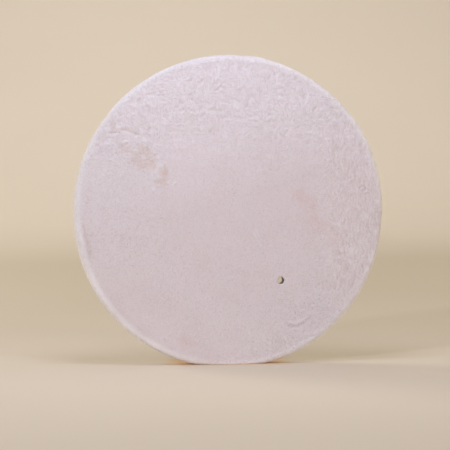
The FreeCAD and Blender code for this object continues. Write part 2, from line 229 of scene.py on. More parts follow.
def stain_mask(x, z, ragged):
    """Where polish has coloured the wool: two stains, and a faint one over the right and lower right."""
    away = to_path(x, z, STAIN_PATH)
    stain = 1.0 - smooth(0.0, 10.0, away + 3.5 * ragged)
    away = to_path(x, z, STAIN_TAIL)
    stain = np.maximum(stain, 0.75 * (1.0 - smooth(2.0, 12.0, away + 3.5 * ragged)))
    low = np.hypot(x - LOW_STAIN[0], z - LOW_STAIN[1])
    stain = np.maximum(stain, 0.8 * (1.0 - smooth(1.0, 8.0, low + 2.5 * ragged)))
    right = smooth(50.0, 78.0, x) * (1.0 - smooth(18.0, 60.0, z + 8.0 * ragged))
    low_right = smooth(58.0, 92.0, 0.75 * x - 0.66 * z)
    return np.clip(np.maximum(stain, 0.38 * right + 0.22 * low_right), 0.0, 1.0)


def tuft_mask(points, x, z):
    """Where loose wool stands up: above the low crease, on the centre lines and round the worn patches."""
    above_crease = 0.35 * bump_at(to_path(x, z - 2.0, LOW_CREASE), LINE_WIDTH)
    tuft = 0.35 * np.max([bump_at(to_path(x, z, line), 0.6) for line in CENTRE_LINES], axis=0)
    tuft = np.maximum(tuft, above_crease)
    beside = np.min([to_path(x, z, path) for path, _ in WORN_PATCHES], axis=0)
    wisps = smooth(0.15, 0.75, noise(points, 2.6 * MM, 26))
    tuft = np.maximum(tuft, bump_at(beside - 4.5, 4.0) * wisps)
    for cx, cz in TUFTS:
        tuft = np.maximum(tuft, bump_at(np.hypot(x - cx, z - cz), 2.6))
    return tuft


def face_masks(points):
    """How lofty, worn, stained and tufted the felt is, where its folds and side crease get painted shade,
    how long its wool lies, and where its face is.

    Each runs from 0 to 1, for every point.
    """
    x, z = points[:, 0] / MM, points[:, 2] / MM
    ragged = noise(points, 9 * MM, 21) + 0.6 * noise(points, 4 * MM, 22)
    face = smooth(FACE + 2.0 * MM, FACE + 0.4 * MM, points[:, 1])
    locks = smooth(50.0, 76.0, x) * (1.0 - smooth(38.0, 70.0, np.abs(z + 6.0)))
    upper = smooth(20.0, 62.0, z + 6.0 * ragged)
    return {
        "loft": loft_mask(points, x, z, ragged) * face + 0.75 * (1.0 - face),
        "strands": np.clip(0.05 + 0.40 * locks + 0.42 * upper, 0.0, 1.0),
        "wear_and_crease_shade": wear_and_crease_shade_mask(points, x, z) * face,
        "stain": stain_mask(x, z, ragged) * face,
        "tuft": tuft_mask(points, x, z) * face,
        "face": face,
        "locks": locks * face,
    }


def matted_relief(points, masks):
    """The lie of the matted wool all over the sheet: curls, furrows and lumps."""
    z = points[:, 2] / MM
    loft = masks["loft"]
    lumps = LUMP_HEIGHT * noise(points, 22 * MM, 31) + SMALL_LUMP_HEIGHT * noise(points, 9 * MM, 32)
    curled = warped(points, 3.6 * MM, 8 * MM, 41)
    upper = smooth(30.0, 66.0, z)
    curls = (0.12 + 0.05 * upper) * MM * ridges(curled, 3.2 * MM, 51)
    knots = (0.10 + 0.07 * upper) * MM * ridges(warped(points, 1.2 * MM, 3 * MM, 44), 1.9 * MM, 52)

    # At the right the wool lies in long upright locks, and above the middle in level bands.
    upright = ridges(curled, (2.1 * MM, 2.1 * MM, 6.5 * MM), 53)
    locks = LOCK_HEIGHT * masks["locks"] * upright
    bands = BAND_HEIGHT * noise(points, (42 * MM, 9 * MM, 3.6 * MM), 54)
    bands = bands * smooth(22.0, 45.0, z) * (1.0 - smooth(82.0, 96.0, z)) * masks["face"]
    return lumps + loft**1.4 * (curls + knots) + locks + bands


def face_marks(points, masks):
    """The single folds, creases, worn hollows and tufts, as a height in metres."""
    x, z = points[:, 0] / MM, points[:, 2] / MM
    wander = 0.9 * noise(points, 5 * MM, 61)
    radius = np.hypot(x, z)
    turn = np.degrees(np.arctan2(z, x)) % 360.0
    height = np.zeros(len(points))

    for path in FOLDS:
        fold = to_path(x, z, path) + 0.4 * wander
        height -= FOLD_DEPTH * bump_at(fold, 1.0)
        height += FOLD_LIP * bump_at(fold - 2.4, 1.3)
    height -= WRINKLE_DEPTH * bump_at(to_path(x, z, RIM_WRINKLE) + 0.5 * wander, LINE_WIDTH)
    for line in CENTRE_LINES:
        height += CENTRE_LINE_HEIGHT * bump_at(to_path(x, z, line), 0.6)
    crease = to_path(x, z, LOW_CREASE) + 0.4 * wander
    height -= LOW_CREASE_DEPTH * bump_at(crease, LINE_WIDTH)
    above = to_path(x, z - 2.0, LOW_CREASE) + 0.4 * wander
    height += LOW_CREASE_LIP * bump_at(above, LINE_WIDTH)
    beside = to_path(x, z, SIDE_CREASE) + 0.3 * wander
    height -= SIDE_CREASE_DEPTH * bump_at(beside, LINE_WIDTH)
    for line in RIGHT_LINES:
        height -= RIGHT_LINE_DEPTH * bump_at(to_path(x, z, line), 0.7)
    for line in LEVEL_LINES:
        height -= LEVEL_LINE_DEPTH * bump_at(to_path(x, z, line) + 0.4 * wander, LINE_WIDTH)

    # The shallow valley where the felt bends over the board.
    valley = 0.07 + 0.10 * smooth(120.0, 165.0, turn) * (1.0 - smooth(185.0, 210.0, turn))
    height -= MM * valley * bump_at(radius - 94.5 + wander, 2.4)

    # A curl of wool like a whorl, near the right rim.
    out = np.hypot(x - SWIRL[0], z - SWIRL[1])
    around = np.arctan2(z - SWIRL[1], x - SWIRL[0])
    height += SWIRL_HEIGHT * np.cos(around - 2.3 * out) * (1.0 - smooth(2.0, 4.6, out))

    height -= WORN_DEPTH * masks["wear_and_crease_shade"] * (0.75 + 0.45 * ridges(points, 2.2 * MM, 62))
    height += MM * masks["tuft"] * (0.30 + 0.35 * ridges(points, 1.6 * MM, 63))
    return height * masks["face"]


def rim_marks(points):
    """The soft unevenness of the rim: a bulge, a flat, the small step at the top and a nick."""
    turn = np.degrees(np.arctan2(points[:, 2], points[:, 0])) % 360.0
    radius = np.hypot(points[:, 0], points[:, 2]) / MM
    near = smooth(88.0, 99.0, radius)
    height = 0.60 * bump_at(turn - RIM_BULGE, 9.0) - 0.55 * bump_at(turn - RIM_FLAT, 9.0)
    height += 0.45 * bump_at(turn - STEP_UP, 3.4) - 0.25 * bump_at(turn - STEP_DOWN, 1.6)
    height -= 0.45 * bump_at(turn - RIM_NICK, 1.5)
    height += 0.22 * noise(points, (16 * MM, 30 * MM, 16 * MM), 71)
    return height * MM * near


# ---------------------------------------------------------------- the felt's mesh

RINGS_APART = 0.80 * MM
FULL_TURN = 832  # points round the rim; halved towards the centre, where less will do
FEWEST_ROUND = 13  # points in the innermost ring
CLOSEST = 0.95 * MM  # a ring is halved while its points would still lie closer together than this
FRONT_ROUND_RINGS = 8
RIM_RINGS = 8
BACK_ROUND_RINGS = 7
HEM_RINGS = 15
HEM_END_RINGS = 3
HEM_ROUND = 1.2 * MM  # rounding of the hem's cut edge
HEM_TABS = 26
SEAM_DEPTH = 1.5 * MM
SEAM_WIDTH = 0.75 * MM
SEAM_DIP = 0.35 * MM  # the wider, shallow dip to both sides of a seam
SEAM_DIP_WIDTH = 2.6 * MM
FOOT_REACH = 6.0 * MM  # how far above the floor the felt starts to give
FOOT_SOFT = 0.35 * MM  # how softly it bends into the flat
FOOT_SWELL = 0.05  # the share by which it gets wider there
RELIEF_SPAN = 0.4 * MM  # the height that the material reads as 1


def add_object(name, data):
    made = bpy.data.objects.new(name, data)
    bpy.context.scene.collection.objects.link(made)
    return made


def smooth_mesh(name, points, faces):
    mesh = bpy.data.meshes.new(name)
    mesh.from_pydata(points, [], faces)
    for face in mesh.polygons:
        face.use_smooth = True
    return mesh


def points_round(radius):
    """How many points the ring at this radius on the face has."""
    count = FULL_TURN
    while count > FEWEST_ROUND and 2 * math.pi * radius / (count / 2) < CLOSEST:
        count //= 2
    return count


def arc_stations(centre_r, centre_y, radius, start, end, steps):
    """Stations (r, y, outward r, outward y, count) along a round corner; 0 degrees looks to the front."""
    stations = []
    for step in range(1, steps + 1):
        angle = math.radians(start + (end - start) * step / steps)
        out_r, out_y = math.sin(angle), -math.cos(angle)
        stations.append((centre_r + radius * out_r, centre_y + radius * out_y, out_r, out_y, FULL_TURN))
    return stations


def outer_stations():
    """The felt's outside as rings, from the middle of the face round the rim to the hem's end."""
    stations = []
    flat_to = WHEEL_RADIUS - EDGE_ROUND
    steps = round(flat_to / RINGS_APART)
    for step in range(1, steps + 1):
        radius = flat_to * step / steps
        stations.append((radius, FACE, 0.0, -1.0, points_round(radius)))
    rim_from, rim_to = FACE + EDGE_ROUND, HEM_BACK - EDGE_ROUND
    stations += arc_stations(flat_to, rim_from, EDGE_ROUND, 0, 90, FRONT_ROUND_RINGS)
    for step in range(1, RIM_RINGS):
        y = rim_from + (rim_to - rim_from) * step / RIM_RINGS
        stations.append((WHEEL_RADIUS, y, 1.0, 0.0, FULL_TURN))
    stations.append((WHEEL_RADIUS, rim_to, 1.0, 0.0, FULL_TURN))
    stations += arc_stations(flat_to, rim_to, EDGE_ROUND, 90, 180, BACK_ROUND_RINGS)
    hem_to = HEM_RADIUS + HEM_ROUND
    for step in range(1, HEM_RINGS + 1):
        radius = flat_to + (hem_to - flat_to) * step / HEM_RINGS
        stations.append((radius, HEM_BACK, 0.0, 1.0, FULL_TURN))
    for step in range(1, HEM_END_RINGS + 1):
        angle = math.radians(90 / HEM_END_RINGS * step)
        out_r, out_y = -math.sin(angle), math.cos(angle)
        radius, y = hem_to + HEM_ROUND * out_r, HEM_BACK - HEM_ROUND + HEM_ROUND * out_y
        stations.append((radius, y, out_r, out_y, FULL_TURN))
    stations.append((HEM_RADIUS, CORE_BACK + 0.9 * MM, -1.0, 0.0, FULL_TURN))
    return stations


def ring_points(stations):
    """Every ring's points, their outward directions and where each ring starts in the list."""
    places, outward, starts = [], [], []
    for radius, y, out_r, out_y, count in stations:
        starts.append(sum(len(ring) for ring in places))
        turn = np.arange(count) * 2 * math.pi / count
        cos, sin = np.cos(turn), np.sin(turn)
        places.append(np.stack([radius * cos, np.full(count, y), radius * sin], axis=1))
        outward.append(np.stack([out_r * cos, np.full(count, out_y), out_r * sin], axis=1))
    return np.concatenate(places), np.concatenate(outward), starts


def stitch(first, first_count, second, second_count):
    """Faces between two rings; either may have half as many points as the other."""
    if first_count == second_count:
        here = np.arange(first_count)
        there = (here + 1) % first_count
        return [tuple(q) for q in np.stack(
            [first + here, first + there, second + there, second + here], axis=1
        ).tolist()]
    if first_count > second_count:
        return [face[::-1] for face in stitch(second, second_count, first, first_count)]
    faces = []
    for coarse in range(first_count):
        after = (coarse + 1) % first_count
        fine = [second + (2 * coarse + k) % second_count for k in range(3)]
        faces.append((first + coarse, fine[1], fine[0]))
        faces.append((first + coarse, first + after, fine[1]))
        faces.append((first + after, fine[2], fine[1]))
    return faces


def dress_hem(points, outward):
    """Behind the board the hem is cut into tabs, glued down side by side with a seam between each."""
    turn = np.arctan2(points[:, 2], points[:, 0])
    radius = np.hypot(points[:, 0], points[:, 2])
    wander = 0.012 * noise(points, 14 * MM, 81)
    place = (turn / (2 * math.pi) + 0.5) * HEM_TABS + wander * HEM_TABS / 3
    rng = np.random.default_rng(82)
    shift = rng.uniform(-0.16, 0.16, HEM_TABS + 1)
    shift[HEM_TABS] = shift[0]
    low = np.floor(place).astype(int) % HEM_TABS
    seam_low, seam_high = shift[low], 1.0 + shift[low + 1]
    inside = place - np.floor(place)
    before, after = inside - seam_low, seam_high - inside
    gap = np.minimum(np.abs(before), np.abs(after)) * (2 * math.pi * radius / HEM_TABS)
    beyond = np.where(after < 0, (low + 1) % HEM_TABS, low)
    tab = np.where(before < 0, (low - 1) % HEM_TABS, beyond)

    # Seams and uneven thickness, only on the back of the hem.
    back = smooth(HEM_BACK - 3.0 * MM, HEM_BACK - 0.4 * MM, points[:, 1])
    back = back * (1.0 - smooth(92.0 * MM, 99.0 * MM, radius))
    depth = SEAM_DEPTH * bump_at(gap, SEAM_WIDTH) + SEAM_DIP * bump_at(gap, SEAM_DIP_WIDTH)
    lift = rng.uniform(-0.45, 0.05, HEM_TABS)[tab] * MM

    # Every tab ends at its own distance from the axis, along a ragged cut.
    ends = 1.0 - smooth(HEM_RADIUS, HEM_RADIUS + 7 * MM, radius)
    uneven = rng.uniform(-0.2, 1.7, HEM_TABS)[tab] + 0.7 * noise(points, 6 * MM, 83)
    behind = points[:, 1] > CORE_BACK + 0.5 * MM
    straight = ends * behind * uneven * MM
    out = np.stack([points[:, 0] / radius, np.zeros(len(points)), points[:, 2] / radius], axis=1)
    moved = points + outward * (back * (lift - depth))[:, None]
    return moved + out * straight[:, None]


def press_foot(points):
    """Flattens the felt where the wheel stands, and lets it swell a little to either side."""
    depth = FLOOR - points[:, 2]
    under = smooth(-FOOT_REACH, 1.5 * MM, depth)
    middle = (FACE + HEM_BACK) / 2
    pressed = points.copy()
    pressed[:, 1] += FOOT_SWELL * under * (points[:, 1] - middle)
    bent = FLOOR + FOOT_SOFT * np.logaddexp(0.0, -depth / FOOT_SOFT)
    pressed[:, 2] = bent - FOOT_SOFT * math.log(2.0) * under * 0.5
    pressed[:, 2] = np.where(depth < -FOOT_REACH, points[:, 2], pressed[:, 2])
    pressed[:, 2] = np.maximum(pressed[:, 2], FLOOR)
    return pressed


def open_pin_hole(points, faces):
    """Cuts the small hole through the face. Returns the faces that stay and the hole's loop in order."""
    lip = PIN_RADIUS + 0.15 * MM
    centres = np.array([points[list(face)].mean(axis=0) for face in faces])
    on_face = centres[:, 1] < CORE_FRONT - 1.0 * MM
    inside = np.hypot(centres[:, 0] - PIN_X, centres[:, 2] - PIN_Z) < lip
    gone = on_face & inside
    kept = [face for face, drop in zip(faces, gone) if not drop]
    used = {point for face, drop in zip(faces, gone) if drop for point in face}
    used &= {point for face in kept for point in face}
    loop = sorted(used, key=lambda p: math.atan2(points[p][2] - PIN_Z, points[p][0] - PIN_X))
    for point in loop:
        dx, dz = points[point][0] - PIN_X, points[point][2] - PIN_Z
        scale = lip / math.hypot(dx, dz)
        points[point][0] = PIN_X + dx * scale
        points[point][2] = PIN_Z + dz * scale
    return kept, loop


def raise_felt(points, outward):
    """The felt's outside with its relief, hem and foot, and each point's height and masks."""
    masks = face_masks(points)
    height = matted_relief(points, masks) + face_marks(points, masks) + rim_marks(points)
    # The relief dies away where the hem's end meets the board.
    tucked = smooth(HEM_BACK - 1.3 * MM, CORE_BACK + 0.8 * MM, points[:, 1])
    radius = np.hypot(points[:, 0], points[:, 2])
    inner_end = (radius < HEM_RADIUS + 0.2 * MM) & (points[:, 1] > CORE_BACK)
    height = np.where(inner_end, height * (1.0 - tucked), height)
    raised = dress_hem(points + outward * height[:, None], outward)
    return press_foot(raised), height, masks


def outside_faces(stations, starts, middle):
    """Faces between the rings of the outside, and a fan from the innermost ring to the middle point."""
    faces = []
    for ring in range(len(stations) - 1):
        faces += stitch(starts[ring], stations[ring][4], starts[ring + 1], stations[ring + 1][4])
    first = stations[0][4]
    faces += [(middle, (k + 1) % first, k) for k in range(first)]
    return faces


def add_hole_wall(points, extra, faces, loop):
    """Adds the hole's wall, from the face down to the board. Returns the loop at its inner end."""
    rng = np.random.default_rng(91)
    rings = [  # how much wider than the hole, in millimetres, and where along the axis
        (0.0, FACE + 0.45 * MM),
        (-0.12, FACE + 1.3 * MM),
        (-0.12, FACE + 2.4 * MM),
        (-0.12, CORE_FRONT - 0.02 * MM),
    ]
    previous = loop
    for wider, depth in rings:
        start = len(points) + len(extra)
        for point in loop:
            turn = math.atan2(points[point][2] - PIN_Z, points[point][0] - PIN_X)
            reach = PIN_RADIUS + (wider + 0.10 * rng.uniform(-1, 1)) * MM
            extra.append([PIN_X + reach * math.cos(turn), depth, PIN_Z + reach * math.sin(turn)])
        ring = list(range(start, start + len(loop)))
        for here in range(len(loop)):
            there = (here + 1) % len(loop)
            faces.append((previous[here], previous[there], ring[there], ring[here]))
        previous = ring
    return previous


def add_inside(points, extra, faces, last_start, last_count):
    """Adds the sheet's inside against the board, from the hem's end to the board's front edge.

    Returns the last ring.
    """
    gap = 0.03 * MM
    inner = [
        (HEM_RADIUS + 0.6 * MM, CORE_BACK + gap, FULL_TURN // 2),
        ((HEM_RADIUS + CORE_RADIUS) / 2, CORE_BACK + gap, FULL_TURN // 4),
        (CORE_RADIUS + gap, CORE_BACK + gap, FULL_TURN // 4),
        (CORE_RADIUS + gap, CORE_FRONT - gap, FULL_TURN // 4),
    ]
    for radius, y, count in inner:
        start = len(points) + len(extra)
        for k in range(count):
            turn = 2 * math.pi * k / count
            extra.append([radius * math.cos(turn), y, radius * math.sin(turn)])
        faces += stitch(last_start, last_count, start, count)
        last_start, last_count = start, count
    return list(range(last_start, last_start + last_count))


def closed_mesh(name, points, faces, loops):
    """A mesh of the points and faces, closed by a flat sheet between the loops."""
    mesh = bpy.data.meshes.new(name)
    mesh.from_pydata(points.tolist(), [], faces)
    work = bmesh.new()
    work.from_mesh(mesh)
    work.verts.ensure_lookup_table()
    edges = []
    for ring in loops:
        for here, there in zip(ring, ring[1:] + ring[:1]):
            edges.append(work.edges.get((work.verts[here], work.verts[there])))
    bmesh.ops.triangle_fill(work, edges=edges, use_beauty=True, normal=(0, 1, 0))
    bmesh.ops.recalc_face_normals(work, faces=work.faces)
    for face in work.faces:
        face.smooth = True
    work.to_mesh(mesh)
    work.free()
    return mesh


def keep_values(mesh, name, values):
    """Stores a value per point for the material to read; points without one get 0."""
    layer = mesh.attributes.new(name, "FLOAT", "POINT")
    padded = np.zeros(len(mesh.vertices), np.float32)
    padded[: len(values)] = values
    layer.data.foreach_set("value", padded)


def make_felt():
    """The whole felt cover as one closed sheet."""
    stations = outer_stations()
    points, outward, starts = ring_points(stations)
    points, height, masks = raise_felt(points, outward)
    faces = outside_faces(stations, starts, len(points))
    points = np.concatenate([points, [[0.0, FACE, 0.0]]])
    faces, loop = open_pin_hole(points, faces)

    extra = []
    hole_loop = add_hole_wall(points, extra, faces, loop)
    board_loop = add_inside(points, extra, faces, starts[-1], stations[-1][4])
    points = np.concatenate([points, np.array(extra)])
    mesh = closed_mesh("felt_cover_sheet", points, faces, (board_loop, hole_loop))

    # The middle point, which comes last, takes the values of the first.
    for name, values in masks.items():
        keep_values(mesh, name, np.append(values, values[0]))
    keep_values(mesh, "relief", np.append(height, height[0]) / RELIEF_SPAN)
    return add_object("felt_cover_sheet", mesh)


# ---------------------------------------------------------------- loose fibres

LYING_FIBRES = 2200
RIM_FIBRES = 4200
FACE_FUZZ = 2600
RIM_SHARE = 0.16  # of the fibres that may root anywhere, the share that root on the rim
LYING_THICK = 0.07 * MM
FUZZ_THICK = 0.055 * MM
TUBE_SIDES = 3
END_TAPER = 0.45  # a tube's ends have this share of its thickness


def fibre_starts(tree, count, rng, rim_only):
    """Where fibres root on the felt: each place, and the felt's outward direction there."""
    starts = []
    while len(starts) < count:
        turn = rng.uniform(0, 2 * math.pi)
        out = Vector((math.cos(turn), 0.0, math.sin(turn)))
        if rim_only or rng.random() < RIM_SHARE:
            y = rng.uniform(FACE + 0.6 * MM, HEM_BACK - 0.6 * MM)
            origin, aim = out * (WHEEL_RADIUS + 6 * MM) + Vector((0.0, y, 0.0)), -out
        else:
            radius = WHEEL_RADIUS * math.sqrt(rng.uniform(0.0, 1.0))
            origin, aim = out * radius + Vector((0.0, FACE - 6 * MM, 0.0)), Vector((0.0, 1.0, 0.0))
        if origin.z < FLOOR + 1.5 * MM:
            continue
        hit, normal, _, _ = tree.ray_cast(origin, aim)
        if hit is None or math.hypot(hit.x - PIN_X, hit.z - PIN_Z) < PIN_RADIUS + 0.5 * MM:
            continue
        if hit.y > FACE + 2.5 * MM and math.hypot(hit.x, hit.z) < WHEEL_RADIUS - 4.5 * MM:
            continue
        if normal.dot(aim) > 0:
            normal = -normal
        starts.append((hit, normal))
    return starts


def lying_fibre(tree, start, normal, length, rng):
    """A fibre that follows the felt's surface, with its ends a little off it."""
    along = normal.cross(Vector(rng.normal(size=3))).normalized()
    steps = 8
    bend = rng.normal(0.0, 0.16)
    path = []
    place = start.copy()
    for step in range(steps + 1):
        near, up, _, _ = tree.find_nearest(place)
        if up.dot(normal) < 0:
            up = -up
        end = abs(2 * step / steps - 1)
        path.append(near + up * (0.06 + 0.22 * end**3 * rng.uniform(0.3, 1.0)) * MM)
        bend += rng.normal(0.0, 0.12)
        side = up.cross(along)
        along = (along * math.cos(bend) + side * math.sin(bend)).normalized()
        along = (along - up * along.dot(up)).normalized()
        place = near + along * (length / steps)
    return path


def standing_fibre(start, normal, length, rng):
    """A short fibre that stands off the felt and curls over."""
    along = (normal * rng.uniform(0.25, 1.0) + 0.9 * Vector(rng.normal(size=3))).normalized()
    if along.dot(normal) < 0.1:
        along = (along + normal * 0.8).normalized()
    curl = Vector(rng.normal(size=3)) * 0.35
    path = [start - normal * 0.1 * MM]
    for _ in range(4):
        path.append(path[-1] + along * (length / 4))
        along = (along + curl).normalized()
    return path


def tube_piece(name, paths, thickness, rng):
    """Thin closed three-sided tubes along the paths, as one piece."""
    points, faces = [], []
    for path in paths:
        radius = thickness / 2 * rng.uniform(0.7, 1.2)
        base = len(points)
        last = len(path) - 1
        for step, place in enumerate(path):
            ahead = (path[min(step + 1, last)] - path[max(step - 1, 0)]).normalized()
            side = ahead.cross(Vector((0.31, 0.55, 0.77))).normalized()
            over = ahead.cross(side)
            taper = radius * (END_TAPER if step in (0, last) else 1.0)
            for corner in range(TUBE_SIDES):
                turn = 2 * math.pi * corner / TUBE_SIDES
                points.append(place + (side * math.cos(turn) + over * math.sin(turn)) * taper)
        for step in range(last):
            low = base + TUBE_SIDES * step
            high = low + TUBE_SIDES
            for corner in range(TUBE_SIDES):
                after = (corner + 1) % TUBE_SIDES
                faces.append((low + corner, low + after, high + after, high + corner))
        end = base + TUBE_SIDES * last
        faces.append((base + 2, base + 1, base))
        faces.append((end, end + 1, end + 2))
    return add_object(name, smooth_mesh(name, points, faces))


def make_fibres(felt):
    """Loose wool: longer fibres that lie on the felt, and a short fuzz on its rim and face."""
    tree = BVHTree.FromPolygons(
        [vertex.co for vertex in felt.data.vertices],
        [face.vertices for face in felt.data.polygons],
    )
    rng = np.random.default_rng(7)
    lying = [
        lying_fibre(tree, start, normal, rng.uniform(3.5, 9.0) * MM, rng)
        for start, normal in fibre_starts(tree, LYING_FIBRES, rng, False)
    ]
    standing = [
        standing_fibre(start, normal, rng.uniform(0.5, 1.9) * MM, rng)
        for start, normal in fibre_starts(tree, RIM_FIBRES, rng, True)
    ]
    standing += [
        standing_fibre(start, normal, rng.uniform(0.5, 1.5) * MM, rng)
        for start, normal in fibre_starts(tree, FACE_FUZZ, rng, False)
    ]
    return (
        tube_piece("stray_fibres", lying, LYING_THICK, rng),
        tube_piece("rim_fuzz", standing, FUZZ_THICK, rng),
    )


# ---------------------------------------------------------------- materials


# Colours of the wool on the face and the rim; several of them are painted light and painted shade.
FACE_MIDDLE_TONE = (0.640, 0.550, 0.556)
TOP_OF_FACE_PAINTED_LIGHT = (0.855, 0.785, 0.838)
FOOT_OF_FACE_PAINTED_BOUNCE = (0.690, 0.598, 0.590)
RIM_WOOL = (0.825, 0.788, 0.782)
UPPER_LEFT_RIM_PAINTED_SHADE = (0.610, 0.596, 0.612)
LOWER_RIGHT_RIM_PAINTED_LIGHT = (0.950, 0.915, 0.900)
CLOUDED = (0.655, 0.580, 0.590)
STAINED = (0.620, 0.455, 0.430)
RUBBED_AND_CREASE_SHADE = (0.665, 0.480, 0.395)
TUFTED = (0.800, 0.780, 0.800)
FURROW_PAINTED_SHADE = (0.520, 0.395, 0.370)
PAINTED_SHADE_IN_GAPS = (0.560, 0.395, 0.360)
PAINTED_HIGHLIGHT_ON_TIPS = (0.940, 0.900, 0.930)


class Nodes:
    """A short way to write a material's node tree."""

    def __init__(self, name):
        self.material = bpy.data.materials.new(name)
        self.material.use_nodes = True
        self.tree = self.material.node_tree
        self.tree.nodes.clear()
        out = self.tree.nodes.new("ShaderNodeOutputMaterial")
        self.shader = self.tree.nodes.new("ShaderNodeBsdfPrincipled")
        self.tree.links.new(self.shader.outputs[0], out.inputs["Surface"])
        self.place = self.tree.nodes.new("ShaderNodeTexCoord").outputs["Object"]

    def link(self, source, target):
        if isinstance(source, (int, float, tuple)):
            target.default_value = source
        else:
            self.tree.links.new(source, target)

    def noise(self, scale, detail=4.0, rough=0.6, distort=0.0, place=None):
        node = self.tree.nodes.new("ShaderNodeTexNoise")
        node.inputs["Scale"].default_value = scale
        node.inputs["Detail"].default_value = detail
        node.inputs["Roughness"].default_value = rough
        node.inputs["Distortion"].default_value = distort
        self.link(self.place if place is None else place, node.inputs["Vector"])
        return node.outputs["Fac"]

    def math(self, kind, a, b=0.0, clamp=False):
        node = self.tree.nodes.new("ShaderNodeMath")
        node.operation = kind
        node.use_clamp = clamp
        self.link(a, node.inputs[0])
        self.link(b, node.inputs[1])
        return node.outputs[0]

    def stretch(self, scale, place=None):
        node = self.tree.nodes.new("ShaderNodeMapping")
        node.inputs["Scale"].default_value = scale
        self.link(self.place if place is None else place, node.inputs["Vector"])
        return node.outputs[0]

    def vector(self, kind, a, b):
        node = self.tree.nodes.new("ShaderNodeVectorMath")
        node.operation = kind
        self.link(a, node.inputs[0])
        self.link(b, node.inputs[1])
        return node.outputs[0]

    def push(self, scale, reach):
        """The object's coordinates pushed about by coloured noise."""
        node = self.tree.nodes.new("ShaderNodeTexNoise")
        node.inputs["Scale"].default_value = scale
        node.inputs["Detail"].default_value = 2.0
        self.link(self.place, node.inputs["Vector"])
        centred = self.vector("SUBTRACT", node.outputs["Color"], (0.5, 0.5, 0.5))
        return self.vector("ADD", self.place, self.vector("MULTIPLY", centred, (reach, reach, reach)))

    def ridge(self, value, sharp):
        """Thin lines where a noise crosses its middle."""
        away = self.math("ABSOLUTE", self.math("SUBTRACT", value, 0.5))
        return self.math("SUBTRACT", 1.0, self.math("MULTIPLY", away, sharp), clamp=True)

    def blend(self, share, a, b):
        """Mixes two plain numbers: all of a at share 0 and all of b at share 1."""
        node = self.tree.nodes.new("ShaderNodeMix")
        self.link(share, node.inputs["Factor"])
        self.link(a, node.inputs["A"])
        self.link(b, node.inputs["B"])
        return node.outputs["Result"]

    def mix(self, share, a, b):
        """Mixes two colours: all of a at share 0 and all of b at share 1."""
        node = self.tree.nodes.new("ShaderNodeMix")
        node.data_type = "RGBA"
        self.link(share, node.inputs["Factor"])
        self.link(a if not isinstance(a, tuple) else (*a, 1.0), node.inputs["A"])
        self.link(b if not isinstance(b, tuple) else (*b, 1.0), node.inputs["B"])
        return node.outputs["Result"]

    def tint(self, colour, share, amount, towards):
        """Moves a colour towards another where share is 1, by amount at most."""
        return self.mix(self.math("MULTIPLY", share, amount), colour, towards)

    def ramp(self, value, low, high):
        """Stretches low to high over 0 to 1."""
        node = self.tree.nodes.new("ShaderNodeMapRange")
        node.inputs["From Min"].default_value = low
        node.inputs["From Max"].default_value = high
        self.link(value, node.inputs["Value"])
        return node.outputs["Result"]

    def axes(self):
        """The object's x, y and z, in metres."""
        node = self.tree.nodes.new("ShaderNodeSeparateXYZ")
        self.link(self.place, node.inputs[0])
        return node.outputs[0], node.outputs[1], node.outputs[2]

    def radius(self):
        """Distance from the wheel's axis."""
        x, _, z = self.axes()
        squares = self.math("ADD", self.math("MULTIPLY", x, x), self.math("MULTIPLY", z, z))
        return self.math("SQRT", squares)

    def attribute(self, name):
        node = self.tree.nodes.new("ShaderNodeAttribute")
        node.attribute_name = name
        return node.outputs["Fac"]

    def bump(self, height, distance, strength=1.0, below=None):
        node = self.tree.nodes.new("ShaderNodeBump")
        node.inputs["Strength"].default_value = strength
        node.inputs["Distance"].default_value = distance
        self.link(height, node.inputs["Height"])
        if below is not None:
            self.link(below, node.inputs["Normal"])
        return node.outputs["Normal"]

    def set(self, socket, value):
        if isinstance(value, tuple) and len(value) == 3:
            value = (*value, 1.0)
        self.link(value, self.shader.inputs[socket])


